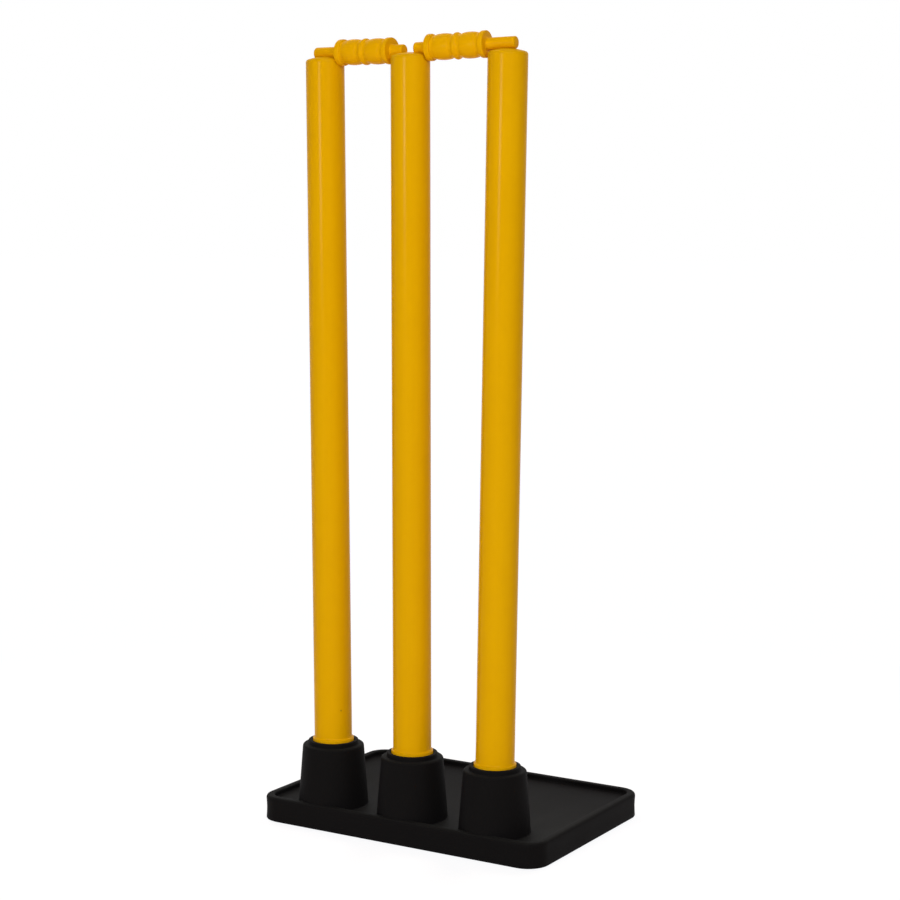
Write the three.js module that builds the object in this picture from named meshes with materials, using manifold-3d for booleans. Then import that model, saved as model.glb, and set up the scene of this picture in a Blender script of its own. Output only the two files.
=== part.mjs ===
// Cricket stumps: three hollow plastic stumps and two loose bails, standing in one heavy rubber base.
// Millimetres, +Z up, +X along the wicket, -Y towards the front. The origin is the middle of the
// base's underside.

import * as THREE from 'three';
import { mergeVertices } from 'three/addons/utils/BufferGeometryUtils.js';
import Module from 'manifold-3d';

const wasm = await Module();
wasm.setup();

// Driving dimensions of the wicket
const wicketHeight = 711.2;
const stumpSpacing = 87.85;
const stumpRadius = 17.65;
const outerLeanDegrees = 0.71;
const middleLeanDegrees = 0.55;

// Driving dimensions of the stump's tube, its top cap and its foot plug
const tubeWall = 2.2;
const capFlange = 4;
const capRounding = 3;
const capDome = 2.2;
const capShankLength = 22;
const capShankWall = 2.4;
const collarOverhang = 1.6;
const collarHeight = 9.6;
const collarFlare = 2.6;
const plugShankLength = 40;
const plugWall = 2.6;
const plugEndChamfer = 1.5;
const pegLength = 54;
const pegShoulder = 0.45;
const pegTaper = 1.8;

// Driving dimensions of the rubber base
const baseLength = 301.5;
const baseWidth = 210.8;
const baseHeight = 23.2;
const cornerRadius = 20.4;
const underEdge = 1.2;
const wallWaist = 0.35;
const rimWidth = 8;
const rimRounding = 2.8;
const rimInnerEdge = 1.5;
const trayDepth = 5;
const floorFillet = 2;

// Driving dimensions of the three sockets on the base
const socketHeight = 75.2;
const socketSpread = 4.3;
const socketRounding = 2.4;
const socketInset = 2;
const ledgeWidth = 5.2;
const lipHeight = 3.9;
const lipWall = 3.8;
const lipEdge = 0.8;
const collarSeatDepth = 4.7;
const socketFloorGap = 2;

// Driving dimensions of the bails
const pinRadius = 5.4;
const pinEndRounding = 1.2;
const longPinOverreach = 8.85;
const shortPinShortfall = 5.65;
const waistRadius = 10.45;
const waistGap = 3;
const crownRise = 1.15;
const centreBeadRise = 1.4;
const centreBeadHalfWidth = 2.6;
const endBeadRise = 1.45;
const endBeadInner = 2;
const endBeadWidth = 2.6;
const endBeadEdge = 0.9;
const endFaceRise = 0.2;
const pinRootFillet = 1;

// How high each pin's axis lies above the rim of the stump that it rests on, and how far the
// two loose bails have slipped along the wicket towards the left
const leftOuterRise = 5.35;
const leftInnerRise = 3.85;
const rightInnerRise = 5.05;
const rightOuterRise = 6.8;
const bailSlip = 0.7;

// Clearances
const pressGap = 0.3;
const seatGap = 0.3;
const socketClearance = 0.4;
const grooveClearance = 0.35;
const beadGap = 0.25;
const cutOverrun = 4;

// Counts of facets, which are not lengths
const stumpFacets = 36;
const socketFacets = 40;
const bailFacets = 24;
const cornerFacets = 6;
const edgeFacets = 3;
const crownFacets = 6;
const domeFacets = 3;

// How steeply a swell leaves its waist: 1 is a plain sine, less is fuller
const crownFullnessShare = 0.52;
const beadFullnessShare = 0.8;

// Sizes that follow from the driving dimensions
const seatHeight = socketHeight + lipHeight - collarSeatDepth;
const stumpLength = wicketHeight - seatHeight;
const tubeBore = stumpRadius - tubeWall;
const shankRadius = tubeBore - pressGap;
const collarRadius = stumpRadius + collarOverhang;
const pegTopRadius = stumpRadius - pegShoulder;
const pegEndRadius = pegTopRadius - pegTaper;
const lipBoreRadius = collarRadius + socketClearance;
const lipRadius = lipBoreRadius + lipWall;
const shoulderRadius = lipRadius + ledgeWidth;
const socketFootRadius = shoulderRadius + socketSpread;
const stumpLineY = -baseWidth / 2 + socketInset + socketFootRadius;
const trayFloorHeight = baseHeight - trayDepth;

// Finishes
function yellowPlastic(colour) {
  return new THREE.MeshStandardMaterial({ color: colour, roughness: 0.42, metalness: 0 });
}

function blackRubber() {
  return new THREE.MeshStandardMaterial({ color: 0x1b1a1b, roughness: 0.62, metalness: 0 });
}

// Welds a geometry to shared corners and drops the triangles that shrink to nothing.
function weld(geometry) {
  const bare = geometry.clone();
  bare.deleteAttribute('normal');
  bare.deleteAttribute('uv');
  const merged = mergeVertices(bare);
  const corners = merged.index.array;
  const kept = [];
  for (let i = 0; i < corners.length; i += 3) {
    const [a, b, c] = [corners[i], corners[i + 1], corners[i + 2]];
    if (a !== b && b !== c && c !== a) kept.push(a, b, c);
  }
  merged.setIndex(kept);
  merged.computeVertexNormals();
  return merged;
}

function toSolid(geometry) {
  const welded = weld(geometry);
  return new wasm.Manifold(new wasm.Mesh({
    numProp: 3,
    vertProperties: new Float32Array(welded.attributes.position.array),
    triVerts: new Uint32Array(welded.index.array),
  }));
}

function toGeometry(solid) {
  const mesh = solid.getMesh();
  const geometry = new THREE.BufferGeometry();
  geometry.setAttribute('position', new THREE.BufferAttribute(mesh.vertProperties, mesh.numProp));
  geometry.setIndex(new THREE.BufferAttribute(mesh.triVerts, 1));
  geometry.computeVertexNormals();
  return geometry;
}

// Points of a quarter round between two corners, each a pair of radius and height. The round
// leaves the first corner along the height and meets the second along the radius.
function quarterRound(from, to, facets) {
  const points = [];
  for (let i = 0; i <= facets; i += 1) {
    const turn = (i / facets) * Math.PI / 2;
    points.push([
      to[0] + (from[0] - to[0]) * Math.cos(turn),
      from[1] + (to[1] - from[1]) * Math.sin(turn),
    ]);
  }
  return points;
}

// Turns an outline of radius and height pairs, listed upwards on its outer side, about +Z.
function revolve(outline, facets) {
  const points = outline.map(([radius, height]) => new THREE.Vector2(radius, height));
  const geometry = new THREE.LatheGeometry(points, facets);
  geometry.rotateX(Math.PI / 2);
  return weld(geometry);
}

function namedMesh(name, geometry, material) {
  const mesh = new THREE.Mesh(geometry, material);
  mesh.name = name;
  return mesh;
}

// One layout for the whole wicket: where each stump stands and which way it leans in its socket.
const stumps = [
  { name: 'left', x: -stumpSpacing, leanX: -outerLeanDegrees, leanFront: 0 },
  { name: 'middle', x: 0, leanX: 0, leanFront: middleLeanDegrees },
  { name: 'right', x: stumpSpacing, leanX: outerLeanDegrees, leanFront: 0 },
];

// A stump's own frame: its origin is on the seat of its collar, and its +Z runs up the stump.
function stumpGroup(stump) {
  const group = new THREE.Group();
  group.position.set(stump.x, stumpLineY, seatHeight);
  group.rotation.set(
    THREE.MathUtils.degToRad(stump.leanFront),
    THREE.MathUtils.degToRad(stump.leanX),
    0,
  );
  group.updateMatrix();
  return group;
}

const stumpGroups = stumps.map(stumpGroup);

// Bails: each one spans two stumps, long pin outwards.
const bails = [
  { name: 'left', from: 1, to: 0, fromRise: leftInnerRise, toRise: leftOuterRise },
  { name: 'right', from: 1, to: 2, fromRise: rightInnerRise, toRise: rightOuterRise },
];

function topOfStump(index) {
  return new THREE.Vector3(0, 0, stumpLength).applyMatrix4(stumpGroups[index].matrix);
}

function restOnStump(index, rise) {
  const rest = topOfStump(index);
  rest.z += rise;
  return rest;
}

// A bail's own frame: its origin is the middle of its barrel, and its +Z runs to the long pin.
function bailGroup(bail) {
  const start = restOnStump(bail.from, bail.fromRise);
  const end = restOnStump(bail.to, bail.toRise);
  const group = new THREE.Group();
  group.position.copy(start).add(end).multiplyScalar(0.5);
  group.position.x -= bailSlip;
  const along = end.sub(start).normalize();
  group.quaternion.setFromUnitVectors(new THREE.Vector3(0, 0, 1), along);
  group.updateMatrix();
  return group;
}

const bailGroups = bails.map(bailGroup);
const halfSpan = topOfStump(1).setZ(0).distanceTo(topOfStump(0).setZ(0)) / 2;
const barrelHalf = halfSpan - stumpRadius - beadGap;
const longPinEnd = halfSpan + longPinOverreach;
const shortPinEnd = halfSpan - shortPinShortfall;

// One swell between two waists: a smooth rise and fall of the radius along the barrel, with its
// points closer together where it leaves the waists.
function swell(from, to, rise, fullness, facets) {
  const points = [];
  for (let i = 1; i < facets; i += 1) {
    const share = (1 - Math.cos(Math.PI * i / facets)) / 2;
    const lift = Math.sin(Math.PI * share) ** fullness;
    points.push([waistRadius + rise * lift, from + (to - from) * share]);
  }
  return points;
}

// Outline of half a barrel, from just past its middle to the root of its pin.
function halfBarrel() {
  const beadRadius = waistRadius + endBeadRise;
  const faceRootRadius = pinRadius + pinRootFillet;
  const faceRoot = barrelHalf - pinRootFillet;
  const beadEnd = faceRoot - endFaceRise - endBeadEdge;
  const beadTop = beadEnd - endBeadWidth;
  const beadStart = beadTop - endBeadInner;
  const crownStart = centreBeadHalfWidth + waistGap;
  const crownEnd = beadStart - waistGap;
  const centreBead = swell(
    -centreBeadHalfWidth,
    centreBeadHalfWidth,
    centreBeadRise,
    beadFullnessShare,
    2 * edgeFacets,
  ).filter(([, height]) => height > centreBeadHalfWidth / bailFacets);
  const beadRound = quarterRound([beadRadius, beadTop], [waistRadius, beadStart], edgeFacets).reverse();
  const beadEdge = quarterRound(
    [beadRadius, beadEnd],
    [beadRadius - endBeadEdge, beadEnd + endBeadEdge],
    edgeFacets,
  );
  const rootFillet = quarterRound([pinRadius, barrelHalf], [faceRootRadius, faceRoot], edgeFacets).reverse();
  return [
    ...centreBead,
    [waistRadius, centreBeadHalfWidth],
    [waistRadius, crownStart],
    ...swell(crownStart, crownEnd, crownRise, crownFullnessShare, crownFacets),
    [waistRadius, crownEnd],
    ...beadRound,
    ...beadEdge,
    ...rootFillet,
  ];
}

function pinEnd(height) {
  const rounded = quarterRound([pinRadius, height - pinEndRounding], [pinRadius - pinEndRounding, height], 2);
  return [...rounded, [0, height]];
}

function bailGeometry() {
  const half = halfBarrel();
  const upper = [...half, ...pinEnd(longPinEnd)];
  const lower = [...half, ...pinEnd(shortPinEnd)].map(([radius, height]) => [radius, -height]).reverse();
  const middle = [waistRadius + centreBeadRise, 0];
  return revolve([...lower, middle, ...upper], bailFacets);
}

// The straight channel that a bail's pin needs across a cap, in the cap's own frame.
function grooveCutter(bailIndex, stumpIndex) {
  const reach = longPinEnd + stumpRadius + cutOverrun;
  const radius = pinRadius + grooveClearance;
  const cutter = new THREE.CylinderGeometry(radius, radius, 2 * reach, bailFacets);
  cutter.rotateX(Math.PI / 2);
  cutter.applyMatrix4(bailGroups[bailIndex].matrix);
  cutter.applyMatrix4(stumpGroups[stumpIndex].matrix.clone().invert());
  return cutter;
}

function tubeGeometry() {
  const bottom = collarHeight + seatGap;
  const top = stumpLength - capFlange - seatGap;
  return revolve([
    [tubeBore, bottom],
    [stumpRadius, bottom],
    [stumpRadius, top],
    [tubeBore, top],
    [tubeBore, bottom],
  ], stumpFacets);
}

// The cap is a hollow plug with a domed flange, and a groove for each bail that it carries.
function capGeometry(stumpIndex) {
  const flangeBottom = stumpLength - capFlange;
  const shankBottom = flangeBottom - capShankLength;
  const hollowRadius = shankRadius - capShankWall;
  const domeRadius = stumpRadius - capRounding;
  const rounded = quarterRound(
    [stumpRadius, stumpLength - capRounding],
    [domeRadius, stumpLength],
    edgeFacets,
  );
  const dome = Array.from({ length: domeFacets }, (_, i) => {
    const share = 1 - (i + 1) / domeFacets;
    return [domeRadius * share, stumpLength + capDome * (1 - share * share)];
  });
  let cap = toSolid(revolve([
    [0, flangeBottom],
    [hollowRadius, flangeBottom],
    [hollowRadius, shankBottom],
    [shankRadius, shankBottom],
    [shankRadius, flangeBottom],
    [stumpRadius, flangeBottom],
    ...rounded,
    ...dome,
  ], stumpFacets));
  bails.forEach((bail, bailIndex) => {
    if (bail.from === stumpIndex || bail.to === stumpIndex) {
      cap = cap.subtract(toSolid(grooveCutter(bailIndex, stumpIndex)));
    }
  });
  return toGeometry(cap);
}

// The foot plug has a shank up in the tube, a collar on the socket's seat and a peg in the socket.
function plugGeometry() {
  const shankTop = collarHeight + plugShankLength;
  const hollowRadius = pegEndRadius - plugWall;
  const hollowTop = shankTop - plugWall;
  const flare = quarterRound(
    [stumpRadius, collarHeight],
    [collarRadius, collarHeight - collarFlare],
    edgeFacets,
  ).reverse();
  return revolve([
    [0, hollowTop],
    [hollowRadius, hollowTop],
    [hollowRadius, -pegLength],
    [pegEndRadius - plugEndChamfer, -pegLength],
    [pegEndRadius, plugEndChamfer - pegLength],
    [pegTopRadius, 0],
    [collarRadius, 0],
    ...flare,
    [shankRadius, collarHeight],
    [shankRadius, shankTop - plugEndChamfer],
    [shankRadius - plugEndChamfer, shankTop],
    [0, shankTop],
  ], stumpFacets);
}

// The hollow in a socket follows the foot plug at a named clearance, and leans with its stump.
function socketHollow(stumpIndex) {
  const mouth = collarHeight + cutOverrun;
  const hollow = revolve([
    [0, -pegLength - socketFloorGap],
    [pegEndRadius + socketClearance, -pegLength - socketFloorGap],
    [pegTopRadius + socketClearance, -seatGap],
    [lipBoreRadius, -seatGap],
    [lipBoreRadius, mouth],
    [0, mouth],
  ], stumpFacets);
  return hollow.applyMatrix4(stumpGroups[stumpIndex].matrix);
}

// The outside of a socket: a cone with a rounded shoulder, a flat ledge and a raised lip.
function socketOutside(stump) {
  const lipTop = socketHeight + lipHeight;
  const wallSlope = socketSpread / (socketHeight - trayFloorHeight);
  const root = trayFloorHeight / 2;
  const rootRadius = socketFootRadius + wallSlope * (trayFloorHeight - root);
  const shoulder = quarterRound(
    [shoulderRadius, socketHeight - socketRounding],
    [shoulderRadius - socketRounding, socketHeight],
    edgeFacets,
  );
  const lip = quarterRound([lipRadius, lipTop - lipEdge], [lipRadius - lipEdge, lipTop], 2);
  const outside = revolve([
    [0, root],
    [rootRadius, root],
    ...shoulder,
    [lipRadius, socketHeight],
    ...lip,
    [0, lipTop],
  ], socketFacets);
  return outside.translate(stump.x, stumpLineY, 0);
}

// One level outline of the base, a rectangle with round corners, drawn in from its edge.
function baseRing(inset, height) {
  const radius = cornerRadius - inset;
  const x = baseLength / 2 - cornerRadius;
  const y = baseWidth / 2 - cornerRadius;
  const corners = [[x, y], [-x, y], [-x, -y], [x, -y]];
  return corners.flatMap(([cornerX, cornerY], quarter) => (
    Array.from({ length: cornerFacets + 1 }, (_, i) => {
      const turn = (quarter + i / cornerFacets) * Math.PI / 2;
      return [cornerX + radius * Math.cos(turn), cornerY + radius * Math.sin(turn), height];
    })
  ));
}

// Skins a stack of level outlines into one closed body, each end closed from its middle.
function skin(rings) {
  const count = rings[0].length;
  const positions = rings.flat(2);
  const last = (rings.length - 1) * count;
  const lowMiddle = rings.length * count;
  const highMiddle = lowMiddle + 1;
  positions.push(0, 0, rings[0][0][2], 0, 0, rings[rings.length - 1][0][2]);
  const faces = [];
  for (let i = 0; i < count; i += 1) {
    const next = (i + 1) % count;
    faces.push(lowMiddle, next, i, highMiddle, last + i, last + next);
    for (let level = 0; level < last; level += count) {
      faces.push(level + i, level + next, level + count + next);
      faces.push(level + i, level + count + next, level + count + i);
    }
  }
  const geometry = new THREE.BufferGeometry();
  geometry.setAttribute('position', new THREE.Float32BufferAttribute(positions, 3));
  geometry.setIndex(faces);
  return geometry;
}

// The tray: a slab with a slightly hollow wall, whose rim is rounded outside and falls to a
// sunken floor inside.
function trayGeometry() {
  const wallTop = baseHeight - rimRounding;
  const rimOuter = quarterRound([0, wallTop], [-rimRounding, baseHeight], edgeFacets);
  const rimInner = quarterRound(
    [rimWidth, rimInnerEdge - baseHeight],
    [rimWidth - rimInnerEdge, -baseHeight],
    edgeFacets,
  ).reverse();
  const fillet = quarterRound(
    [rimWidth, trayFloorHeight + floorFillet],
    [rimWidth + floorFillet, trayFloorHeight],
    edgeFacets,
  );
  const section = [
    [underEdge, 0],
    [0, underEdge],
    [wallWaist, (underEdge + wallTop) / 2],
    ...rimOuter.map(([inset, height]) => [-inset, height]),
    ...rimInner.map(([inset, height]) => [inset, -height]),
    ...fillet,
  ];
  return skin(section.map(([inset, height]) => baseRing(inset, height)));
}

function baseGeometry() {
  let base = toSolid(trayGeometry());
  stumps.forEach((stump) => {
    base = base.add(toSolid(socketOutside(stump)));
  });
  stumps.forEach((stump, index) => {
    base = base.subtract(toSolid(socketHollow(index)));
  });
  return toGeometry(base);
}

const cricketStumps = new THREE.Group();
cricketStumps.add(namedMesh('rubber_base', baseGeometry(), blackRubber()));

stumps.forEach((stump, index) => {
  const group = stumpGroups[index];
  group.add(namedMesh(`foot_plug_${stump.name}`, plugGeometry(), yellowPlastic(0xdda300)));
  group.add(namedMesh(`stump_tube_${stump.name}`, tubeGeometry(), yellowPlastic(0xe0a500)));
  group.add(namedMesh(`top_cap_${stump.name}`, capGeometry(index), yellowPlastic(0xdfa600)));
  cricketStumps.add(group);
});

bails.forEach((bail, index) => {
  const group = bailGroups[index];
  group.add(namedMesh(`bail_${bail.name}`, bailGeometry(), yellowPlastic(0xe6ab00)));
  cricketStumps.add(group);
});

export default cricketStumps;
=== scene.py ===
"""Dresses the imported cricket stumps: a rubber base, three yellow plastic stumps and two bails.

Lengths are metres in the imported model's own frame: +X along the wicket, -Y towards the front and
+Z up, with the origin under the middle of the base.
"""

import logging
import math
from collections.abc import Callable, Iterable, Sequence
from dataclasses import dataclass, field
from enum import Enum
from typing import Any

import bmesh
import bpy
from mathutils import Matrix, Vector


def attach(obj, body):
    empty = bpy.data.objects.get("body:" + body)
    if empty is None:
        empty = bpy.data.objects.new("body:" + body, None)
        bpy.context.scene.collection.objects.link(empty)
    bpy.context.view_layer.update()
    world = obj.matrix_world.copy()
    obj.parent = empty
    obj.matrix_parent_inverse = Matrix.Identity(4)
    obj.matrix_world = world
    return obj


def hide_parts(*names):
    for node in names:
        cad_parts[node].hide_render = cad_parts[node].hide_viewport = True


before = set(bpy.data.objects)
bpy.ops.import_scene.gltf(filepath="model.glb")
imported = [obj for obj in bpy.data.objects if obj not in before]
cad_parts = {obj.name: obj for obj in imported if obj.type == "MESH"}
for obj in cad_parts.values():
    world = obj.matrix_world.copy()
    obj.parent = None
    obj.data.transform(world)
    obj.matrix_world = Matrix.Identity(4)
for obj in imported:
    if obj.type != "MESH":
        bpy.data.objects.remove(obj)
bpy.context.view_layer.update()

LOG = logging.getLogger("cricket_stumps")
QUARTER = math.pi / 2
MM = 0.001
# A gap too small to see, and the distance within which two corners are merged
HAIR = 0.01 * MM
WELD = 0.001 * MM
# The place of the small dark mark low on the left stump
SPECK = (-73.1 * MM, -79.4 * MM, 109.8 * MM)

# The radius and height of one ring of a turned piece
Station = tuple[float, float]
Colour = tuple[float, float, float, float]


class Side(Enum):
    """The three places in the wicket, as seen from the front."""

    LEFT = "left"
    MIDDLE = "middle"
    RIGHT = "right"


# Shader expressions


class Wire:
    """A number in a shader, which takes part in Python expressions."""

    def __init__(self, graph: "Graph", socket: bpy.types.NodeSocket) -> None:
        """Wraps one output socket.

        Args:
            graph: The graph that the socket belongs to.
            socket: The output socket that carries the number.
        """
        self.graph = graph
        self.socket = socket

    def _maths(self, operation: str, first: Any, second: Any) -> "Wire":
        """Adds one Math node.

        Args:
            operation: The node's operation.
            first: The first number or wire.
            second: The second number or wire.

        Returns:
            The result as a new wire.
        """
        node = self.graph.node("ShaderNodeMath", {"operation": operation}, {0: first, 1: second})
        return Wire(self.graph, node.outputs[0])

    def __add__(self, other: Any) -> "Wire":
        """Adds a number or a wire."""
        return self._maths("ADD", self, other)

    def __radd__(self, other: Any) -> "Wire":
        """Adds to a number."""
        return self._maths("ADD", other, self)

    def __sub__(self, other: Any) -> "Wire":
        """Subtracts a number or a wire."""
        return self._maths("SUBTRACT", self, other)

    def __rsub__(self, other: Any) -> "Wire":
        """Subtracts from a number."""
        return self._maths("SUBTRACT", other, self)

    def __mul__(self, other: Any) -> "Wire":
        """Multiplies by a number or a wire."""
        return self._maths("MULTIPLY", self, other)

    def ramp(self, low: float, high: float) -> "Wire":
        """Goes smoothly from 0 to 1 between two values, the first of which may be the higher.

        Args:
            low: Where the mask starts.
            high: Where the mask is full.

        Returns:
            The mask as a wire.
        """
        node = self.graph.node(
            "ShaderNodeMapRange",
            {"interpolation_type": "SMOOTHSTEP", "clamp": True},
            {"Value": self, "From Min": low, "From Max": high},
        )
        return Wire(self.graph, node.outputs["Result"])


class Graph:
    """The nodes of one material or of the world, built from Python expressions."""

    def __init__(self, owner: bpy.types.Material | bpy.types.World) -> None:
        """Empties the owner's nodes.

        Args:
            owner: The material or world.
        """
        owner.use_nodes = True
        self.owner = owner
        self.tree = owner.node_tree
        self.tree.nodes.clear()

    def node(self, kind: str, settings: dict[str, Any], values: dict[Any, Any]) -> bpy.types.Node:
        """Adds a node, sets it up and feeds its sockets.

        Args:
            kind: The node's type.
            settings: The node's own properties, set first.
            values: Numbers, colours, wires or sockets by socket name or place.

        Returns:
            The new node.
        """
        made = self.tree.nodes.new(kind)
        for name, value in settings.items():
            setattr(made, name, value)
        for name, value in values.items():
            if isinstance(value, Wire):
                self.tree.links.new(value.socket, made.inputs[name])
            elif isinstance(value, bpy.types.NodeSocket):
                self.tree.links.new(value, made.inputs[name])
            else:
                made.inputs[name].default_value = value
        return made

    def place(self, stretch: Sequence[float] = (1, 1, 1)) -> bpy.types.NodeSocket:
        """Gives the object's own coordinates, stretched per axis.

        Args:
            stretch: The factor on each axis.

        Returns:
            The vector socket.
        """
        coordinates = self.node("ShaderNodeTexCoord", {}, {})
        mapping = self.node(
            "ShaderNodeMapping", {}, {"Vector": coordinates.outputs["Object"], "Scale": stretch}
        )
        return mapping.outputs["Vector"]

    def noise(
        self, vector: bpy.types.NodeSocket, scale: float, detail: float = 2, rough: float = 0.5
    ) -> Wire:
        """Adds a noise between 0 and 1.

        Args:
            vector: Where the noise is read.
            scale: Its grains per metre, about.
            detail: Its octaves.
            rough: How strong the finer octaves are.

        Returns:
            The noise as a wire.
        """
        values = {"Vector": vector, "Scale": scale, "Detail": detail, "Roughness": rough}
        return Wire(self, self.node("ShaderNodeTexNoise", {}, values).outputs[0])

    def specks(self, vector: bpy.types.NodeSocket, scale: float) -> Wire:
        """Gives the distance to the nearest of a scatter of points.

        Args:
            vector: Where it is read.
            scale: Points per metre, about.

        Returns:
            The distance as a wire, 0 at a point.
        """
        values = {"Vector": vector, "Scale": scale}
        node = self.node("ShaderNodeTexVoronoi", {"feature": "F1"}, values)
        return Wire(self, node.outputs["Distance"])

    def distance(self, vector: bpy.types.NodeSocket, spot: Sequence[float]) -> Wire:
        """Gives the distance to one point.

        Args:
            vector: Where it is read.
            spot: The point.

        Returns:
            The distance as a wire.
        """
        node = self.node("ShaderNodeVectorMath", {"operation": "DISTANCE"}, {0: vector, 1: spot})
        return Wire(self, node.outputs["Value"])

    def axis(self, vector: bpy.types.NodeSocket, name: str) -> Wire:
        """Takes one coordinate of a vector.

        Args:
            vector: The vector socket.
            name: X, Y or Z.

        Returns:
            The coordinate as a wire.
        """
        return Wire(self, self.node("ShaderNodeSeparateXYZ", {}, {"Vector": vector}).outputs[name])

    def facing_up(self) -> Wire:
        """Gives the upward part of the surface's normal, 1 on a level face."""
        geometry = self.node("ShaderNodeNewGeometry", {}, {})
        return self.axis(geometry.outputs["Normal"], "Z")

    def showing_rays(self) -> Wire:
        """Gives 1 on the rays that show a background: the camera's, off gloss and through glass."""
        path = self.node("ShaderNodeLightPath", {}, {})
        kinds = ("Camera", "Glossy", "Transmission")
        camera, gloss, glass = (Wire(self, path.outputs[f"Is {kind} Ray"]) for kind in kinds)
        return camera + gloss + glass

    def tint(self, share: Wire, first: Any, second: Any) -> bpy.types.NodeSocket:
        """Mixes two colours.

        Args:
            share: How much of the second colour shows.
            first: The colour at 0.
            second: The colour at 1.

        Returns:
            The mixed colour's socket.
        """
        settings = {"data_type": "RGBA", "clamp_factor": True}
        mixed = self.node("ShaderNodeMix", settings, {0: share, 6: first, 7: second})
        return mixed.outputs[2]

    def bump(self, height: Wire, depth: float, strength: float) -> bpy.types.NodeSocket:
        """Turns a height into a bumped normal.

        Args:
            height: The height, about 0 to 1.
            depth: The depth of the relief in metres.
            strength: How much of it shows.

        Returns:
            The normal's socket.
        """
        values = {"Height": height, "Distance": depth, "Strength": strength}
        return self.node("ShaderNodeBump", {}, values).outputs["Normal"]

    def finish(self, settings: dict[str, Any]) -> bpy.types.Material:
        """Closes the material with one principled surface.

        Args:
            settings: The shader's sockets.

        Returns:
            The finished material.
        """
        surface = self.node("ShaderNodeBsdfPrincipled", {}, settings)
        self.node("ShaderNodeOutputMaterial", {}, {"Surface": surface.outputs["BSDF"]})
        return self.owner


@dataclass(frozen=True)
class YellowPlastic:
    """Satin golden yellow plastic, with faint flow and draw lines along the piece.

    The sizes of its patterns are grains per metre, about, and lines stretches them on each axis.
    """

    name: str
    base: Colour
    deep: Colour
    roughness: float
    lines: tuple[float, float, float]
    mottle: float
    cloud: float = 14
    grain: float = 1500
    mark: Colour = (0.12, 0.075, 0.03, 1)
    mark_edge: tuple[float, float] = (1.15 * MM, 0.45 * MM)
    refraction: float = 1.46
    gloss: float = 0.032
    relief_depth: float = 0.05 * MM

    def material(self) -> bpy.types.Material:
        """Builds the node material.

        Returns:
            The material.
        """
        graph = Graph(bpy.data.materials.new(self.name))
        plain = graph.place()
        broad = graph.noise(plain, self.cloud, detail=3)
        lines = graph.noise(graph.place(self.lines), 1, detail=3, rough=0.6)
        grain = graph.noise(plain, self.grain)
        pores = graph.noise(plain, self.mottle, detail=3, rough=0.65)
        speck = graph.distance(plain, SPECK).ramp(*self.mark_edge)
        # The patterns share the change of shade, and then the relief, by weights that make 1
        shade = broad.ramp(0.3, 0.75) * 0.5 + lines.ramp(0.35, 0.7) * 0.3
        shade = shade + pores.ramp(0.45, 0.8) * 0.2
        relief = lines * 0.5 + pores * 0.35 + grain * 0.15
        colour = graph.tint(shade, self.base, self.deep)
        rough = self.roughness + (lines - 0.5) * 0.10 + (broad - 0.5) * 0.08 + speck * 0.2
        return graph.finish(
            {
                "Base Color": graph.tint(speck * 0.5, colour, self.mark),
                "Roughness": rough,
                "IOR": self.refraction,
                "Specular IOR Level": self.gloss,
                "Normal": graph.bump(relief, self.relief_depth, strength=0.4),
            }
        )


@dataclass(frozen=True)
class BlackRubber:
    """Moulded black rubber: a fine matt grain, and a lighter bloom on its level faces that is
    partly dust and partly painted light from above, with painted shade towards the back.

    The sizes of its patterns are grains per metre, about, and wipes stretches them on each axis.
    """

    name: str
    base: Colour
    # Partly dust, partly painted light: the lighter colour that level faces take
    dust_and_top_light: Colour
    roughness: float
    cloud: float = 22
    patch: float = 70
    grain: float = 1100
    pits: float = 420
    wipes: tuple[float, float, float] = (60, 9, 60)
    # Painted shade: between these depths the level faces darken towards the back, by this share
    back_shade_edge: tuple[float, float] = (-30 * MM, 90 * MM)
    back_shade_share: float = 0.6
    refraction: float = 1.5
    gloss: float = 0.027
    relief_depth: float = 0.22 * MM

    def material(self) -> bpy.types.Material:
        """Builds the node material.

        Returns:
            The material.
        """
        graph = Graph(bpy.data.materials.new(self.name))
        plain = graph.place()
        cloud = graph.noise(plain, self.cloud, detail=4, rough=0.6)
        patch = graph.noise(plain, self.patch, detail=3, rough=0.55)
        grain = graph.noise(plain, self.grain, detail=3, rough=0.6)
        pits = graph.specks(plain, self.pits).ramp(0.28, 0.05)
        wipe = graph.noise(graph.place(self.wipes), 1, detail=3, rough=0.6)
        level = graph.facing_up().ramp(0.35, 0.98)
        # Level faces get a lighter bloom, partly dust and partly painted light from above; it
        # darkens towards the back as painted shade, and the walls keep a trace of dust
        back_shade_factor = 1 - graph.axis(plain, "Y").ramp(*self.back_shade_edge) * self.back_shade_share
        bloom = 0.45 + cloud.ramp(0.3, 0.75) * 0.35 + wipe.ramp(0.45, 0.7) * 0.2
        dust_and_light_mask = level * bloom * back_shade_factor + (1 - level) * patch.ramp(0.52, 0.78) * 0.07
        relief = grain * 0.6 + patch * 0.25 - pits * 0.15
        return graph.finish(
            {
                # Painted light on level faces and painted shade towards the back, mixed with dust
                "Base Color": graph.tint(dust_and_light_mask, self.base, self.dust_and_top_light),
                "Roughness": self.roughness + (cloud - 0.5) * 0.12 + grain * 0.05,
                "IOR": self.refraction,
                "Specular IOR Level": self.gloss,
                "Normal": graph.bump(relief, self.relief_depth, strength=0.5),
            }
        )


# Hand modelling


def round_between(start: Station, end: Station, steps: int) -> list[Station]:
    """Gives a quarter round that leaves the start upwards and meets the end sideways.

    Args:
        start: The first radius and height.
        end: The last radius and height.
        steps: Its facets.

    Returns:
        The stations, both ends included.
    """
    turns = [step / steps * QUARTER for step in range(steps + 1)]
    return [
        (
            end[0] + (start[0] - end[0]) * math.cos(turn),
            start[1] + (end[1] - start[1]) * math.sin(turn),
        )
        for turn in turns
    ]


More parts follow.
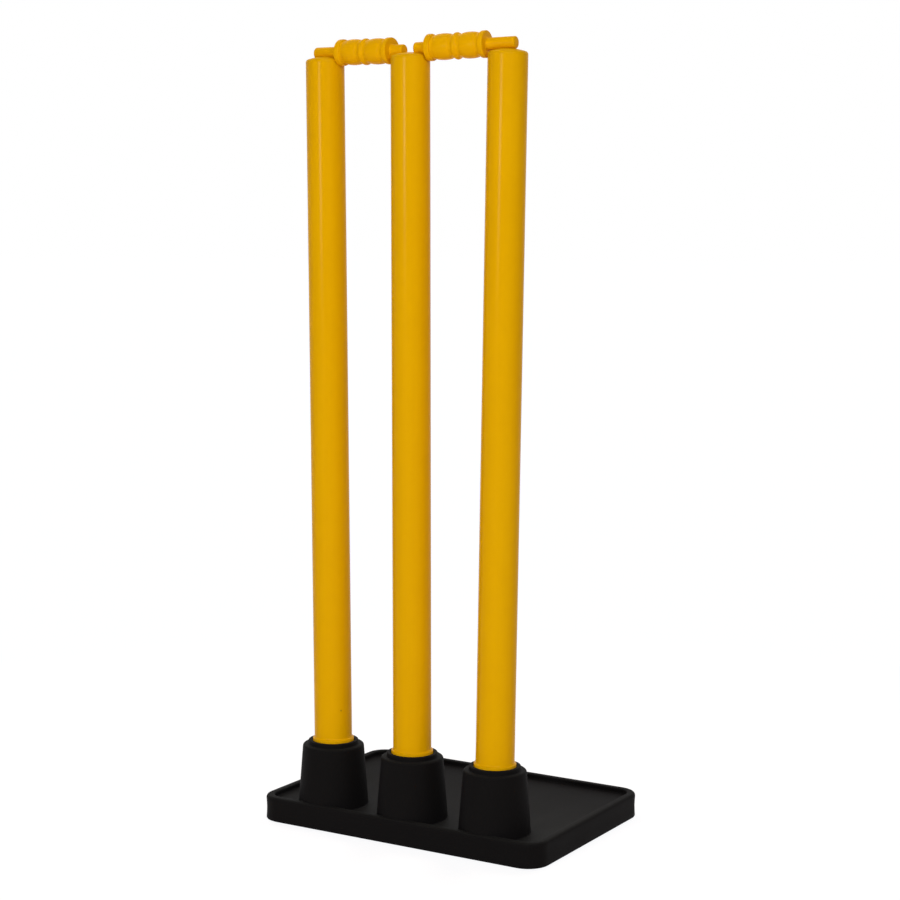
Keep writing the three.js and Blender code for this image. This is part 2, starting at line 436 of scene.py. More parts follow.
def flipped(stations: Iterable[Station]) -> list[Station]:
    """Mirrors stations across the level of height 0 and keeps them listed upwards."""
    return [(radius, -height) for radius, height in stations][::-1]


def deselect() -> None:
    """Goes back to object mode with nothing selected."""
    if bpy.context.object and bpy.context.object.mode != "OBJECT":
        bpy.ops.object.mode_set(mode="OBJECT")
    bpy.ops.object.select_all(action="DESELECT")


def activate(piece: bpy.types.Object) -> None:
    """Selects one piece alone and makes it the active one.

    Args:
        piece: The piece to work on.
    """
    deselect()
    piece.select_set(True)
    bpy.context.view_layer.objects.active = piece


def pick(piece: bpy.types.Object, kind: str, test: Callable[[Any], bool]) -> None:
    """Selects, in edit mode, the edges or faces that pass a test.

    Args:
        piece: The piece in edit mode.
        kind: "EDGE" or "FACE".
        test: Says of an edge or a face whether it counts.
    """
    bpy.ops.mesh.select_mode(type=kind)
    bpy.ops.mesh.select_all(action="DESELECT")
    shape = bmesh.from_edit_mesh(piece.data)
    parts = shape.edges if kind == "EDGE" else shape.faces
    for part in parts:
        if test(part):
            part.select_set(True)
    bmesh.update_edit_mesh(piece.data)


def pick_by_corners(piece: bpy.types.Object, kind: str, test: Callable[[Vector], bool]) -> None:
    """Selects, in edit mode, the edges or faces whose every corner lies where a test says."""
    pick(piece, kind, lambda part: all(test(corner.co) for corner in part.verts))


def turned(
    name: str, stations: Sequence[Station], facets: int, closed: bool = False
) -> bpy.types.Object:
    """Turns a round piece: a ring is extruded and resized up its axis, station by station.

    Args:
        name: The piece's name.
        stations: Each ring's radius and height. A last radius of 0 closes the piece at its axis.
        facets: The ring's facets.
        closed: True where the last station meets the first again, as on a tube.

    Returns:
        The new piece, upright about the Z axis.
    """
    deselect()
    radius, height = stations[0]
    bpy.ops.mesh.primitive_circle_add(
        vertices=facets, radius=radius, fill_type="NOTHING", location=(0, 0, height)
    )
    piece = bpy.context.object
    piece.name = name
    bpy.ops.object.transform_apply()
    bpy.ops.object.mode_set(mode="EDIT")
    bpy.ops.mesh.select_all(action="SELECT")
    if not closed:
        bpy.ops.mesh.edge_face_add()
        bpy.ops.mesh.select_mode(type="EDGE")
    for (before, low), (after, high) in zip(stations, stations[1:]):
        bpy.ops.mesh.extrude_region_move(TRANSFORM_OT_translate={"value": (0, 0, high - low)})
        if after == 0:
            bpy.ops.mesh.merge(type="CENTER")
        else:
            size = after / before
            bpy.ops.transform.resize(value=(size, size, 1), center_override=(0, 0, high))
    bpy.ops.mesh.select_all(action="SELECT")
    bpy.ops.mesh.remove_doubles(threshold=WELD)
    bpy.ops.mesh.normals_make_consistent(inside=False)
    bpy.ops.object.mode_set(mode="OBJECT")
    return piece


def settle(piece: bpy.types.Object, place: Matrix, crease: float) -> None:
    """Puts a piece in its place for good and shades it smooth but for its hard edges.

    Args:
        piece: The piece, modelled about its own axis.
        place: Where it goes in the model's frame.
        crease: The angle past which an edge stays hard.
    """
    activate(piece)
    piece.matrix_world = place
    bpy.ops.object.transform_apply()
    bpy.ops.object.shade_smooth_by_angle(angle=crease)


def copy_of(piece: bpy.types.Object, name: str) -> bpy.types.Object:
    """Copies a piece with its own mesh.

    Args:
        piece: The piece to copy.
        name: The copy's name.

    Returns:
        The copy.
    """
    activate(piece)
    bpy.ops.object.duplicate(linked=False)
    made = bpy.context.object
    made.name = name
    return made


def dress(
    piece: bpy.types.Object, material: bpy.types.Material, body: str, node: str
) -> None:
    """Gives a piece its finish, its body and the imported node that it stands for.

    Args:
        piece: The piece.
        material: Its finish.
        body: The body that it rides on.
        node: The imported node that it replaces.
    """
    piece.data.materials.clear()
    piece.data.materials.append(material)
    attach(piece, body)
    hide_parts(node)
    LOG.info("%s rides on %s with %d faces", piece.name, body, len(piece.data.polygons))


# The wicket


@dataclass(frozen=True)
class Layout:
    """Where the stumps stand, how they lean and where the bails lie.

    The rises are of the left bail and the right one: how far its axis passes above the middle of
    its inner and its outer stump's top.
    """

    height: float = 711.2 * MM
    spacing: float = 87.85 * MM
    line: float = -70.45 * MM
    seat: float = 74.4 * MM
    stump_radius: float = 17.65 * MM
    outer_lean: float = math.radians(0.71)
    middle_lean: float = math.radians(0.55)
    inner_rises: tuple[float, float] = (3.85 * MM, 5.05 * MM)
    outer_rises: tuple[float, float] = (5.35 * MM, 6.8 * MM)
    bail_slip: float = 0.7 * MM

    def stump_length(self) -> float:
        """Gives the length from the collar's seat to the stump's top."""
        return self.height - self.seat

    def stump_place(self, side: Side) -> Matrix:
        """Gives the frame of one stump, with its origin on the collar's seat.

        Args:
            side: Which stump.

        Returns:
            The stump's matrix.
        """
        across = {Side.LEFT: -1, Side.MIDDLE: 0, Side.RIGHT: 1}[side]
        spot = Matrix.Translation((across * self.spacing, self.line, self.seat))
        if side is Side.MIDDLE:
            return spot @ Matrix.Rotation(self.middle_lean, 4, "X")
        return spot @ Matrix.Rotation(across * self.outer_lean, 4, "Y")

    def top(self, side: Side) -> Vector:
        """Gives the middle of one stump's top."""
        return self.stump_place(side) @ Vector((0, 0, self.stump_length()))

    def half_span(self) -> float:
        """Gives half the level distance between two neighbouring tops."""
        across = self.top(Side.RIGHT) - self.top(Side.MIDDLE)
        return Vector((across.x, across.y)).length / 2

    def bail_place(self, side: Side) -> Matrix:
        """Gives the frame of one bail: its origin in the barrel, +Z towards the outer stump.

        Args:
            side: LEFT or RIGHT.

        Returns:
            The bail's matrix.
        """
        which = 0 if side is Side.LEFT else 1
        start = self.top(Side.MIDDLE) + Vector((0, 0, self.inner_rises[which]))
        end = self.top(side) + Vector((0, 0, self.outer_rises[which]))
        middle = (start + end) / 2 - Vector((self.bail_slip, 0, 0))
        turn = Vector((0, 0, 1)).rotation_difference((end - start).normalized())
        return Matrix.Translation(middle) @ turn.to_matrix().to_4x4()


@dataclass
class RubberBase:
    """The heavy rubber moulding: a rounded tray with a rim, and three tall sockets in its front."""

    layout: Layout
    length: float = 301.5 * MM
    width: float = 210.8 * MM
    height: float = 23.2 * MM
    corner: float = 20.4 * MM
    corner_steps: int = 14
    rim: float = 8 * MM
    tray_depth: float = 5 * MM
    # How far in the wall stands at each height, both in millimetres
    wall: tuple[tuple[float, float], ...] = (
        (1.2, 0), (0.35, 0.45), (0, 1.3), (0.22, 6), (0.35, 11), (0.2, 16), (0, 19.6)
    )
    rim_round: float = 2.8 * MM
    rim_inner_round: float = 1.5 * MM
    floor_fillet: float = 1.8 * MM
    socket_foot: float = 32.95 * MM
    socket_shoulder: float = 28.65 * MM
    socket_height: float = 75.2 * MM
    shoulder_round: float = 2.4 * MM
    foot_fillet: float = 1.1 * MM
    foot_sunk: float = 0.25 * MM
    foot_depth: float = 4 * MM
    lip: float = 23.45 * MM
    lip_height: float = 3.9 * MM
    lip_round: float = 0.9 * MM
    lip_root: float = 0.9 * MM
    lip_root_bend: float = 0.25 * MM
    mouth_round: float = 0.8 * MM
    seat_gap: float = 0.3 * MM
    collar_bore: float = 19.65 * MM
    peg_bore: float = 18.1 * MM
    bore_taper: float = 1.2 * MM
    bore_bottom: float = 0.05 * MM
    cone_rings: tuple[float, ...] = (0.02, 0.3, 0.65, 1)
    facets: int = 112
    broad_steps: int = 8
    round_steps: int = 6
    edge_steps: int = 5
    crease: float = math.radians(32)
    moulding: bpy.types.Object | None = None

    def inset(self, spot: Vector) -> float:
        """Tells how far inside the base's outline a point lies, seen from above.

        Args:
            spot: The point.

        Returns:
            The distance in from the outline.
        """
        across = abs(spot.x) - (self.length / 2 - self.corner)
        along = abs(spot.y) - (self.width / 2 - self.corner)
        outside = math.hypot(max(across, 0), max(along, 0)) + min(max(across, along), 0)
        return self.corner - outside

    def tray(self) -> bpy.types.Object:
        """Models the tray from a block: rounded corners, a shaped wall, a rim and a sunken floor.

        Returns:
            The tray.
        """
        deselect()
        bpy.ops.mesh.primitive_cube_add(size=1, location=(0, 0, 0.5))
        piece = bpy.context.object
        piece.name = "rubber_tray"
        bpy.ops.object.transform_apply()
        bpy.ops.object.mode_set(mode="EDIT")
        bpy.ops.mesh.select_all(action="SELECT")
        size = (self.length, self.width, self.height)
        bpy.ops.transform.resize(value=size, center_override=(0, 0, 0))
        pick(piece, "EDGE", self.is_upright)
        bpy.ops.mesh.bevel(
            offset=self.corner, offset_type="OFFSET", segments=self.corner_steps, affect="EDGES"
        )
        self.shape_wall(piece)
        self.sink_floor(piece)
        self.round_rim(piece)
        bpy.ops.mesh.select_all(action="SELECT")
        bpy.ops.mesh.normals_make_consistent(inside=False)
        bpy.ops.object.mode_set(mode="OBJECT")
        return piece

    def is_upright(self, edge: bmesh.types.BMEdge) -> bool:
        """Tells whether an edge is one of the block's four upright ones."""
        first, second = edge.verts
        return abs(first.co.z - second.co.z) > self.height / 2

    def shape_wall(self, piece: bpy.types.Object) -> None:
        """Cuts level rings into the wall and draws each one in by its own small inset.

        Args:
            piece: The tray in edit mode.
        """
        for _, level in self.wall[1:]:
            bpy.ops.mesh.select_all(action="SELECT")
            bpy.ops.mesh.bisect(plane_co=(0, 0, level * MM), plane_no=(0, 0, 1))
        for inset, level in self.wall:
            pick_by_corners(piece, "EDGE", lambda spot, z=level * MM: abs(spot.z - z) < HAIR)
            across = 1 - 2 * inset * MM / self.length
            along = 1 - 2 * inset * MM / self.width
            bpy.ops.transform.resize(value=(across, along, 1), center_override=(0, 0, 0))

    def sink_floor(self, piece: bpy.types.Object) -> None:
        """Insets the top by the rim's width and sinks the tray's floor.

        Args:
            piece: The tray in edit mode.
        """
        pick_by_corners(piece, "FACE", lambda spot: spot.z > self.height - HAIR)
        bpy.ops.mesh.inset(thickness=self.rim, depth=0)
        bpy.ops.mesh.extrude_region_move(TRANSFORM_OT_translate={"value": (0, 0, -self.tray_depth)})

    def round_rim(self, piece: bpy.types.Object) -> None:
        """Rounds the rim's two edges and the corner of the sunken floor.

        Args:
            piece: The tray in edit mode.
        """
        top = self.height - HAIR
        floor = self.height - self.tray_depth + HAIR

        def outer(spot: Vector) -> bool:
            """Tells whether a corner lies on the rim's outer edge."""
            return spot.z > top and self.inset(spot) < self.rim / 2

        def inner(spot: Vector) -> bool:
            """Tells whether a corner lies on the rim's inner edge."""
            return spot.z > top and self.inset(spot) > self.rim / 2

        def sunken(spot: Vector) -> bool:
            """Tells whether a corner lies where the rim meets the tray's floor."""
            return self.height / 2 < spot.z < floor and self.inset(spot) > self.rim / 2

        edges = (
            (outer, self.rim_round, self.round_steps),
            (inner, self.rim_inner_round, self.edge_steps),
            (sunken, self.floor_fillet, self.edge_steps),
        )
        for test, size, steps in edges:
            pick_by_corners(piece, "EDGE", test)
            bpy.ops.mesh.bevel(offset=size, offset_type="OFFSET", segments=steps, affect="EDGES")

    def socket_stations(self) -> list[Station]:
        """Lists the socket's outline: cone, shoulder, ledge, lip, collar seat and bore.

        Returns:
            The stations from the hidden foot, over the lip and down to the bore's bottom.
        """
        floor = self.height - self.tray_depth
        foot, fillet = self.socket_foot, self.foot_fillet
        slope = (foot - self.socket_shoulder) / (self.socket_height - floor)
        low = floor - self.foot_sunk
        flare = round_between((foot, low + fillet), (foot + fillet, low), self.round_steps)[::-1]
        rise = (self.socket_height - self.shoulder_round) - (floor + fillet)
        cone = [
            (foot - slope * (fillet + share * rise), floor + fillet + share * rise)
            for share in self.cone_rings
        ]
        ledge_start = (cone[-1][0] - self.shoulder_round, self.socket_height)
        shoulder = round_between(cone[-1], ledge_start, self.broad_steps)
        lip_top = self.socket_height + self.lip_height
        lip = round_between(
            (self.lip, lip_top - self.lip_round),
            (self.lip - self.lip_round, lip_top),
            self.edge_steps,
        )
        mouth = round_between(
            (self.collar_bore, -lip_top + self.mouth_round),
            (self.collar_bore + self.mouth_round, -lip_top),
            self.edge_steps - 1,
        )
        seat = self.layout.seat - self.seat_gap
        return [
            (foot + fillet, floor - self.foot_depth),
            *flare,
            *cone,
            *shoulder[1:],
            (self.lip + self.lip_root, self.socket_height),
            (self.lip + self.lip_root_bend, self.socket_height + self.lip_root_bend),
            (self.lip, self.socket_height + self.lip_root),
            *lip,
            *flipped(mouth),
            (self.collar_bore, seat),
            (self.peg_bore, seat),
            (self.peg_bore - self.bore_taper, floor + self.bore_bottom),
            (0, floor + self.bore_bottom),
        ]

    def build(self) -> None:
        """Models the tray and one socket, copies it twice and joins all as one moulding."""
        tray = self.tray()
        settle(tray, Matrix.Identity(4), self.crease)
        first = turned("rubber_socket", self.socket_stations(), self.facets)
        sockets = [first, copy_of(first, "rubber_socket_b"), copy_of(first, "rubber_socket_c")]
        for socket, across in zip(sockets, (-1, 0, 1)):
            place = Matrix.Translation((across * self.layout.spacing, self.layout.line, 0))
            settle(socket, place, self.crease)
        activate(tray)
        for socket in sockets:
            socket.select_set(True)
        bpy.ops.object.join()
        tray.name = "rubber_base_moulding"
        self.moulding = tray

    def dress(self, rubber: bpy.types.Material) -> None:
        """Gives the moulding its finish and its body."""
        dress(self.moulding, rubber, "base", "rubber_base")


@dataclass
class Stump:
    """One stump: a hollow tube with a foot plug below and a grooved cap on top."""

    layout: Layout
    side: Side
    facets: int = 96
    wall: float = 2.2 * MM
    tube_rings: int = 24
    collar: float = 19.25 * MM
    collar_height: float = 9.6 * MM
    collar_flare: float = 2.6 * MM
    collar_edge: float = 0.4 * MM
    # The steps out and up from a sharp corner that soften the collar's brim and the peg's tip
    brim: tuple[Station, ...] = ((0, -0.35 * MM), (-0.1 * MM, -0.1 * MM), (-0.25 * MM, 0))
    peg_tip: tuple[Station, ...] = ((-1.2 * MM, 0), (-0.4 * MM, 0.4 * MM), (0, 1.4 * MM))
    flange: float = 4 * MM
    cap_round: float = 3 * MM
    cap_dome: float = 2.2 * MM
    cap_shank: float = 22 * MM
    cap_shank_wall: float = 2.4 * MM
    cap_shank_edge: float = 0.8 * MM
    peg: float = 54 * MM
    peg_top: float = 17.2 * MM
    peg_neck: float = 0.2 * MM
    peg_end: float = 15.4 * MM
    plug_wall: float = 2.6 * MM
    shank: float = 40 * MM
    shank_edge: float = 1.2 * MM
    press_gap: float = 0.3 * MM
    seam: float = HAIR
    groove_gap: float = 0.35 * MM
    groove_end: float = 1 * MM
    groove_facets: int = 64
    broken_edge: float = 0.25 * MM
    sharp: float = math.radians(30)
    round_steps: int = 8
    dome_rings: int = 9
    # How far out the edge's round meets the dome, as a share of the flat top's radius, about
    crown_reach: float = 1.06
    crease: float = math.radians(35)
    pieces: dict[str, bpy.types.Object] = field(default_factory=dict)

    def tube(self) -> bpy.types.Object:
        """Models the tube, ringed along its length so that it shades evenly.

        Returns:
            The tube, upright in the stump's frame.
        """
        outer = self.layout.stump_radius
        inner = outer - self.wall
        low = self.collar_height + self.seam
        high = self.layout.stump_length() - self.flange - self.seam
        steps = self.tube_rings
        side = [(outer, low + (high - low) * step / steps) for step in range(steps + 1)]
        stations = [(inner, low), *side, (inner, high), (inner, low)]
        return turned(f"stump_tube_shell_{self.side.value}", stations, self.facets, closed=True)

    def foot_plug(self) -> bpy.types.Object:
        """Models the foot plug: a hollow peg, a collar with a flared top and a shank.

        Returns:
            The plug, upright in the stump's frame.
        """
        outer = self.layout.stump_radius
        shank = outer - self.wall - self.press_gap
        hollow = self.peg_end - self.plug_wall
        end, edge = -self.peg, self.collar_edge
        brim_level = self.collar_height - self.collar_flare
        shank_top = self.collar_height + self.shank
        tip = [(self.peg_end + out, end + up) for out, up in self.peg_tip]
        brim = [(self.collar + out, brim_level + up) for out, up in self.brim]
        flare = round_between((outer, self.collar_height), brim[-1], self.round_steps)[::-1]
        stations = [
            (hollow, end),
            *tip,
            (self.peg_top, -self.peg_neck),
            (self.peg_top, 0),
            (self.collar - edge, 0),
            (self.collar, edge),
            *brim,
            *flare[1:],
            (shank, self.collar_height),
            (shank, shank_top - self.shank_edge),
            (shank - self.shank_edge, shank_top),
            (hollow, shank_top),
            (hollow, end),
        ]
        return turned(f"foot_plug_body_{self.side.value}", stations, self.facets, closed=True)

    def cap(self) -> bpy.types.Object:
        """Models the cap: a hollow plug with a rounded flange.

        Returns:
            The cap before its grooves are cut.
        """
        outer = self.layout.stump_radius
        shank = outer - self.wall - self.press_gap
        top = self.layout.stump_length()
        base = top - self.flange
        end = base - self.cap_shank
        stations = [
            (shank - self.cap_shank_wall, end),
            (shank - self.cap_shank_edge, end),
            (shank, end + self.cap_shank_edge),
            (shank, base),
            (outer, base),
            *self.crown(top),
        ]
        return turned(f"top_cap_body_{self.side.value}", stations, self.facets)

    def crown(self, top: float) -> list[Station]:
        """Lists the cap's rounded edge and the low dome that it runs into.

        Args:
            top: The height of the rim.

        Returns:
            The stations from the upright side to the middle of the dome.
        """
        outer = self.layout.stump_radius
        flat = outer - self.cap_round
        slope = math.atan(2 * self.cap_dome / flat * self.crown_reach)
        meet = flat + self.cap_round * math.sin(slope)
        level = top + self.cap_dome * (1 - (meet / flat) ** 2)
        start = level - self.cap_round * math.cos(slope)
        steps, rings = self.round_steps, self.dome_rings
        turns = [step / steps * (QUARTER - slope) for step in range(steps + 1)]
        edge = [
            (flat + self.cap_round * math.cos(turn), start + self.cap_round * math.sin(turn))
            for turn in turns
        ]
        dome = [
            (meet * share, top + self.cap_dome * (1 - (meet * share / flat) ** 2))
            for share in [1 - ring / rings for ring in range(1, rings)]
        ]
        return [*edge, *dome, (0, top + self.cap_dome)]

    def groove(self, cap: bpy.types.Object, bail: Side) -> None:
        """Cuts the groove of one resting bail into the cap.

        Args:
            cap: The cap, already in its place.
            bail: Which bail.
        """
        bails = Bails(self.layout)
        low, high = 0.0, self.layout.half_span() + 2 * self.layout.stump_radius
        if self.side is Side.MIDDLE:
            low, high = bails.short_under - self.layout.half_span() - self.groove_end, 0.0
        radius = bails.pin + self.groove_gap
        stations = [(radius, low), (radius, high), (0, high)]
        cutter = turned("groove_cutter", stations, self.groove_facets)
        activate(cutter)
        cutter.matrix_world = self.layout.bail_place(bail)
        bpy.ops.object.transform_apply()
        activate(cap)
        cut = cap.modifiers.new("groove", "BOOLEAN")
        cut.operation = "DIFFERENCE"
        cut.solver = "EXACT"
        cut.object = cutter
        bpy.ops.object.modifier_apply(modifier=cut.name)
        bpy.data.objects.remove(cutter)

    def build(self) -> None:
        """Models the three pieces and stands them in the stump's place."""
        place = self.layout.stump_place(self.side)
        tube, plug, cap = self.tube(), self.foot_plug(), self.cap()
        for piece in (tube, plug, cap):
            settle(piece, place, self.crease)
        bails = [Side.LEFT, Side.RIGHT] if self.side is Side.MIDDLE else [self.side]
        for bail in bails:
            self.groove(cap, bail)
        self.soften(cap)
        self.pieces = {"stump_tube": tube, "foot_plug": plug, "top_cap": cap}

    def soften(self, cap: bpy.types.Object) -> None:
        """Breaks the cap's sharp groove edges with a small bevel.

        Args:
            cap: The cap with its grooves.
        """
        activate(cap)
        edge = cap.modifiers.new("broken_edges", "BEVEL")
        edge.width = self.broken_edge
        edge.segments = 2
        edge.limit_method = "ANGLE"
        edge.angle_limit = self.sharp
        bpy.ops.object.modifier_apply(modifier=edge.name)
        bpy.ops.object.shade_smooth_by_angle(angle=self.crease)

    def dress(self, tube: bpy.types.Material, fitting: bpy.types.Material) -> None:
        """Gives each piece its finish and its body.

        Args:
            tube: The tube's finish.
            fitting: The finish of the plug and the cap.
        """
        side = self.side.value
        body = f"stump_{side}"
        dress(self.pieces["stump_tube"], tube, body, f"stump_tube_{side}")
        dress(self.pieces["foot_plug"], fitting, body, f"foot_plug_{side}")
        dress(self.pieces["top_cap"], fitting, body, f"top_cap_{side}")


@dataclass
class Bails:
    """The two bails, one moulding used twice, each with its long pin outwards."""

    layout: Layout
    facets: int = 96
    pin: float = 5.4 * MM
    pin_round: float = 1.4 * MM
    long_over: float = 8.85 * MM
    short_under: float = 5.65 * MM
    waist: float = 10.42 * MM
    waist_gap: float = 3 * MM
    crown: float = 1.15 * MM
    # The powers that make a swell and the middle bead fuller than a plain sine
    fullness: float = 0.52
    bead_fullness: float = 0.8
    middle_bead: float = 1.4 * MM
    middle_half: float = 2.6 * MM
    end_bead: float = 1.45 * MM
    end_inner: float = 2 * MM
    end_width: float = 2.6 * MM
    end_edge: float = 0.9 * MM
    face_rise: float = 0.2 * MM
    root_fillet: float = 1 * MM
    play: float = 0.25 * MM
    waist_dip: float = 0.12 * MM
    dip_start: float = 0.9 * MM
    dip_end: float = 0.6 * MM
    bead_steps: int = 8
    crown_steps: int = 16
    edge_steps: int = 6
    crease: float = math.radians(40)
    pieces: dict[Side, bpy.types.Object] = field(default_factory=dict)

    def half_barrel(self) -> list[Station]:
        """Lists the outline of half a barrel, from past its middle to the face of its end bead.

        Returns:
            The stations.
        """
        face = self.layout.half_span() - self.layout.stump_radius - self.play
        root = face - self.root_fillet
        bead_end = root - self.face_rise - self.end_edge
        bead_top = bead_end - self.end_width
        bead_start = bead_top - self.end_inner
        crown_low = self.middle_half + self.waist_gap
        crown_high = bead_start - self.waist_gap
        top = self.waist + self.end_bead
        dip = self.waist - self.waist_dip
        beads, crowns, edges = self.bead_steps, self.crown_steps, self.edge_steps
        bead = [
            (
                self.waist + self.middle_bead * math.cos(share * QUARTER) ** self.bead_fullness,
                self.middle_half * share,
            )
            for share in [step / beads for step in range(1, beads)]
        ]
        crown = [
            (
                self.waist + self.crown * math.sin(math.pi * share) ** self.fullness,
                crown_low + (crown_high - crown_low) * share,
            )
            for share in [(1 - math.cos(math.pi * step / crowns)) / 2 for step in range(1, crowns)]
        ]
        return [
            *bead,
            (self.waist, self.middle_half),
            (dip, self.middle_half + self.dip_start),
            (dip, crown_low - self.dip_end),
            (self.waist, crown_low),
            *crown,
            (self.waist, crown_high),
            (dip, crown_high + self.dip_end),
            (dip, bead_start - self.dip_end),
            *round_between((top, bead_top), (self.waist, bead_start), beads)[::-1],
            *round_between((top, bead_end), (top - self.end_edge, bead_end + self.end_edge), edges),
            *round_between((self.pin, face), (self.pin + self.root_fillet, root), edges)[::-1],
        ]

    def pin_end(self, end: float) -> list[Station]:
        """Lists the outline of a pin's rounded end.

        Args:
            end: How far the pin reaches from the barrel's middle.

        Returns:
            The stations up to the flat of the end.
        """
        start = (self.pin, end - self.pin_round)
        return round_between(start, (self.pin - self.pin_round, end), self.edge_steps)

    def model(self) -> bpy.types.Object:
        """Models one bail along the Z axis.

        Returns:
            The bail with its long pin upwards.
        """
        half = self.half_barrel()
        span = self.layout.half_span()
        upper = [*half, *self.pin_end(span + self.long_over), (0, span + self.long_over)]
        lower = flipped([*half, *self.pin_end(span - self.short_under)])
        middle = (self.waist + self.middle_bead, 0.0)
        return turned("bail_body_left", [*lower, middle, *upper], self.facets)

    def build(self) -> None:
        """Models the left bail, copies it and lays both across the stumps."""
        left = self.model()
        right = copy_of(left, "bail_body_right")
        self.pieces = {Side.LEFT: left, Side.RIGHT: right}
        for side, piece in self.pieces.items():
            settle(piece, self.layout.bail_place(side), self.crease)

    def dress(self, plastic: bpy.types.Material) -> None:
        """Gives both bails their finish and their bodies."""
        for side, piece in self.pieces.items():
            dress(piece, plastic, f"bail_{side.value}", f"bail_{side.value}")


# The studio


@dataclass(frozen=True)
class Softbox:
    """One soft rectangular lamp that looks at the wicket.

    Its azimuth is in degrees from the front towards the right, its distance is level, its sizes
    are metres and its power is watts. One that is not in gloss lights without a highlight.
    """

    name: str
    azimuth: float
    distance: float
    height: float
    width: float
    tall: float
    power: float
    colour: tuple[float, float, float]
    in_gloss: bool = True

    def build(self, target: Vector) -> None:
        """Hangs the lamp and turns it to the target.

        Args:
            target: What the lamp looks at.
        """
        turn = math.radians(self.azimuth)
        across, along = math.sin(turn) * self.distance, -math.cos(turn) * self.distance
        spot = Vector((across, along, self.height))
        data = bpy.data.lights.new(self.name, "AREA")
        data.shape = "RECTANGLE"
        data.size = self.width
        data.size_y = self.tall
        data.energy = self.power
        data.color = self.colour
        lamp = bpy.data.objects.new(self.name, data)
        bpy.context.scene.collection.objects.link(lamp)
        lamp.location = spot
        lamp.visible_glossy = self.in_gloss
        lamp.rotation_euler = (target - spot).to_track_quat("-Z", "Y").to_euler()


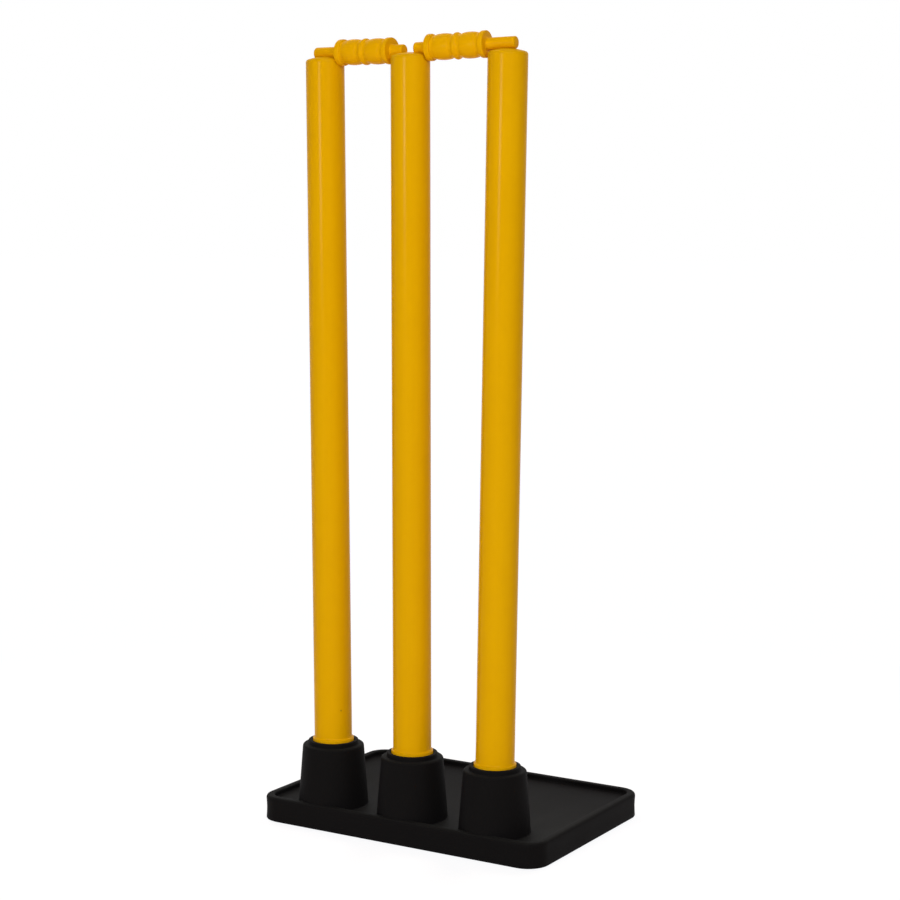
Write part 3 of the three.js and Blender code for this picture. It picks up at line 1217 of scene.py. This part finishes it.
@dataclass
class Studio:
    """A pale floor, a white surround, soft lamps and the camera."""

    white: Colour = (1.0, 1.0, 1.0, 1.0)
    floor_white: Colour = (1.0, 1.018, 1.05, 1.0)
    fill: Colour = (1.0, 0.76, 0.56, 1.0)
    fill_strength: float = 0.12
    floor_colour: Colour = (0.86, 0.76, 0.66, 1.0)
    floor_radius: float = 30
    floor_glow: float = 1.18
    floor_share: float = 0.72
    shadow_fade: tuple[float, float] = (0.3, 0.9)
    target: tuple[float, float, float] = (0, -0.06, 0.36)
    # Each lamp's name, azimuth, distance, height, width, tallness, power, colour and gloss
    lamps: tuple[Softbox, ...] = (
        Softbox("key_left", -4, 2.6, 0.76, 0.42, 0.28, 17.5, (0.94, 1.0, 1.0)),
        Softbox("key_right", 52, 2.6, 1.46, 0.32, 0.54, 16.5, (0.94, 1.0, 1.0)),
        Softbox("high_front", 28, 5.0, 3.0, 3.2, 2.4, 65, (0.96, 1.0, 0.98)),
        Softbox("overhead", 20, 0.5, 2.9, 2.2, 2.2, 12, (1.0, 0.92, 0.88), False),
        Softbox("back_left", -120, 2.4, 2.8, 1.5, 1.5, 34, (1.0, 0.96, 0.90), False),
        Softbox("back_right", 176, 2.4, 2.8, 1.5, 1.5, 36, (1.0, 0.96, 0.90), False),
    )
    camera_place: tuple[float, float, float] = (965.607 * MM, -1607.5 * MM, 561.146 * MM)
    camera_yaw: float = -31.08
    camera_pitch: float = 6.361
    camera_roll: float = 0.265
    focal: float = 80.58
    sensor: float = 36
    clip: tuple[float, float] = (0.05, 100)

    def surround(self) -> None:
        """Lights the scene evenly, and shows white to the camera and in gloss."""
        world = bpy.data.worlds.new("studio_surround")
        bpy.context.scene.world = world
        graph = Graph(world)
        fill = {"Color": self.fill, "Strength": self.fill_strength}
        lit = graph.node("ShaderNodeBackground", {}, fill)
        seen = graph.node("ShaderNodeBackground", {}, {"Color": self.white, "Strength": 1.0})
        sockets = {0: graph.showing_rays(), 1: lit.outputs[0], 2: seen.outputs[0]}
        mixed = graph.node("ShaderNodeMixShader", {}, sockets)
        graph.node("ShaderNodeOutputWorld", {}, {"Surface": mixed.outputs[0]})

    def floor(self) -> None:
        """Lays a wide pale floor that shows white but keeps the object's shadow near its foot."""
        deselect()
        bpy.ops.mesh.primitive_circle_add(
            vertices=96, radius=self.floor_radius, fill_type="NGON", location=(0, 0, 0)
        )
        ground = bpy.context.object
        ground.name = "studio_floor"
        graph = Graph(bpy.data.materials.new("pale_floor"))
        spot = graph.place()
        across, along = graph.axis(spot, "X"), graph.axis(spot, "Y")
        near_edge, far_edge = (reach**2 for reach in self.shadow_fade)
        far = (across * across + along * along).ramp(near_edge, far_edge)
        lit = graph.node("ShaderNodeBsdfDiffuse", {}, {"Color": self.floor_colour})
        # Near the object the white is mixed with the lit floor, and glows more to make up for it
        glow = self.floor_glow - far * (self.floor_glow - 1)
        white = graph.node("ShaderNodeEmission", {}, {"Color": self.floor_white, "Strength": glow})
        share = graph.showing_rays() * (far * (1 - self.floor_share) + self.floor_share)
        sockets = {0: share, 1: lit.outputs[0], 2: white.outputs[0]}
        mixed = graph.node("ShaderNodeMixShader", {}, sockets)
        graph.node("ShaderNodeOutputMaterial", {}, {"Surface": mixed.outputs[0]})
        ground.data.materials.append(graph.owner)

    def camera(self) -> None:
        """Sets up the camera at the photograph's place, with a pinhole fit's own angles."""
        angles = (self.camera_yaw, self.camera_pitch, self.camera_roll)
        yaw, pitch, roll = (math.radians(angle) for angle in angles)
        reach = math.cos(pitch)
        ahead = Vector((math.sin(yaw) * reach, math.cos(yaw) * reach, -math.sin(pitch)))
        level = Vector((math.cos(yaw), -math.sin(yaw), 0))
        above = level.cross(ahead)
        right = level * math.cos(roll) + above * math.sin(roll)
        up = above * math.cos(roll) - level * math.sin(roll)
        data = bpy.data.cameras.new("photo_camera")
        data.sensor_width = self.sensor
        data.lens = self.focal
        data.clip_start, data.clip_end = self.clip
        camera = bpy.data.objects.new("photo_camera", data)
        bpy.context.scene.collection.objects.link(camera)
        turn = Matrix((right, up, -ahead)).transposed().to_4x4()
        camera.matrix_world = Matrix.Translation(self.camera_place) @ turn
        bpy.context.scene.camera = camera

    def build(self) -> None:
        """Builds the surround, the floor, the lamps and the camera."""
        bpy.context.scene.view_settings.view_transform = "Standard"
        self.surround()
        self.floor()
        for lamp in self.lamps:
            lamp.build(Vector(self.target))
        self.camera()


RUBBER = BlackRubber(
    name="black_rubber",
    base=(0.0056, 0.0050, 0.0053, 1),
    # The level faces' lighter colour, partly dust and partly painted light from above
    dust_and_top_light=(0.0125, 0.0120, 0.0115, 1),
    roughness=0.60,
)
TUBE = YellowPlastic(
    name="yellow_tube",
    base=(0.765, 0.400, 0.0003, 1),
    deep=(0.735, 0.374, 0.0002, 1),
    roughness=0.19,
    lines=(420, 420, 5),
    mottle=160,
)
FITTING = YellowPlastic(
    name="yellow_fitting",
    base=(0.755, 0.394, 0.0003, 1),
    deep=(0.715, 0.362, 0.0002, 1),
    roughness=0.22,
    lines=(260, 260, 60),
    mottle=240,
)
BAIL = YellowPlastic(
    name="yellow_bail",
    base=(0.810, 0.412, 0.0003, 1),
    deep=(0.775, 0.376, 0.0002, 1),
    roughness=0.26,
    lines=(60, 260, 260),
    mottle=320,
)


def main() -> None:
    """Builds and dresses the wicket, then its studio."""
    logging.basicConfig(level=logging.INFO, format="%(name)s: %(message)s")
    layout = Layout()
    base = RubberBase(layout)
    base.build()
    base.dress(RUBBER.material())
    tube, fitting = TUBE.material(), FITTING.material()
    for side in Side:
        stump = Stump(layout, side)
        stump.build()
        stump.dress(tube, fitting)
    bails = Bails(layout)
    bails.build()
    bails.dress(BAIL.material())
    Studio().build()


if __name__ == "__main__":
    main()
